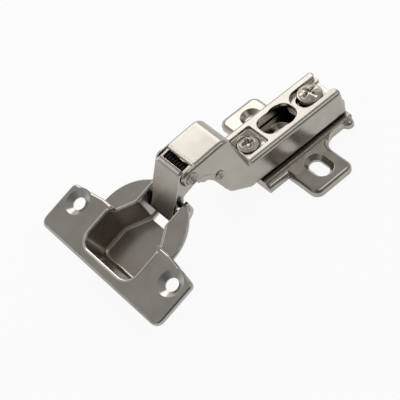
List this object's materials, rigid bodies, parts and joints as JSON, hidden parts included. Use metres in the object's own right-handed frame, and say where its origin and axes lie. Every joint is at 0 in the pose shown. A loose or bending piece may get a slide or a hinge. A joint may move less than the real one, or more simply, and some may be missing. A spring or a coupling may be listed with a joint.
{
  "type": "concealed cabinet cup hinge",
  "caption": "Concealed sprung cup hinge for an inset cabinet door, with a cranked arm on a winged plate, fully open.",
  "frame": {"origin": "midway between the mounting plate's two wing slots, on the face that lies on the cabinet side", "axes": "+X along the arm away from the door, +Z away from the cabinet side, symmetric about y = 0"},
  "size_m": [0.1025, 0.061, 0.0318],
  "materials": {
    "plated_sheet": "satin nickel plate",
    "cup_sheet": "satin nickel plate",
    "screw_steel": "zinc plated, bright",
    "pin_steel": "plain drawn steel",
    "spring_wire": "oiled dark spring wire"
  },
  "bodies": {
    "plate": {"mounting_plate": "plated_sheet"},
    "fixing_screw": {"fixing_screw": "screw_steel"},
    "adjusting_screw": {"side_adjusting_screw": "screw_steel"},
    "arm": {"hinge_arm": "plated_sheet", "arm_pin_front": "pin_steel", "arm_pin_rear": "pin_steel", "torsion_spring": "spring_wire"},
    "outer_link": {"outer_link": "plated_sheet"},
    "cup": {"hinge_cup": "cup_sheet", "cup_pin_outer": "pin_steel", "cup_pin_inner": "pin_steel"},
    "inner_link": {"inner_link": "plated_sheet"}
  },
  "joints": [
    {"name": "fixing_screw_turn", "type": "hinge", "parent": "plate", "child": "fixing_screw", "pos_m": [0.0132, 0, 0], "axis": [0, 0, 1], "continuous": true},
    {"name": "depth_adjustment", "type": "slide", "parent": "plate", "child": "adjusting_screw", "axis": [1, 0, 0], "range_m": [-0.002, 0.002]},
    {"name": "side_adjustment", "type": "hinge", "parent": "adjusting_screw", "child": "arm", "pos_m": [0.0132, 0, 0.01265], "axis": [0, 1, 0], "range_deg": [-1.2, 0]},
    {"name": "outer_link_swing", "type": "hinge", "parent": "arm", "child": "outer_link", "pos_m": [-0.0422, 0, 0.0273], "axis": [0, 1, 0], "range_deg": [-23.75, 0]},
    {"name": "cup_swing", "type": "hinge", "parent": "outer_link", "child": "cup", "pos_m": [-0.05007, 0, 0.01322], "axis": [0, 1, 0], "range_deg": [0, 131.4]},
    {"name": "inner_link_swing", "type": "hinge", "parent": "cup", "child": "inner_link", "pos_m": [-0.04727, 0, 0.01727], "axis": [0, 1, 0], "range_deg": [-153.67, 0]}
  ],
  "couplings": [
    {"joint": "outer_link_swing", "follows": "cup_swing", "ratio": -0.18033},
    {"joint": "inner_link_swing", "follows": "cup_swing", "ratio": -1.1691}
  ]
}
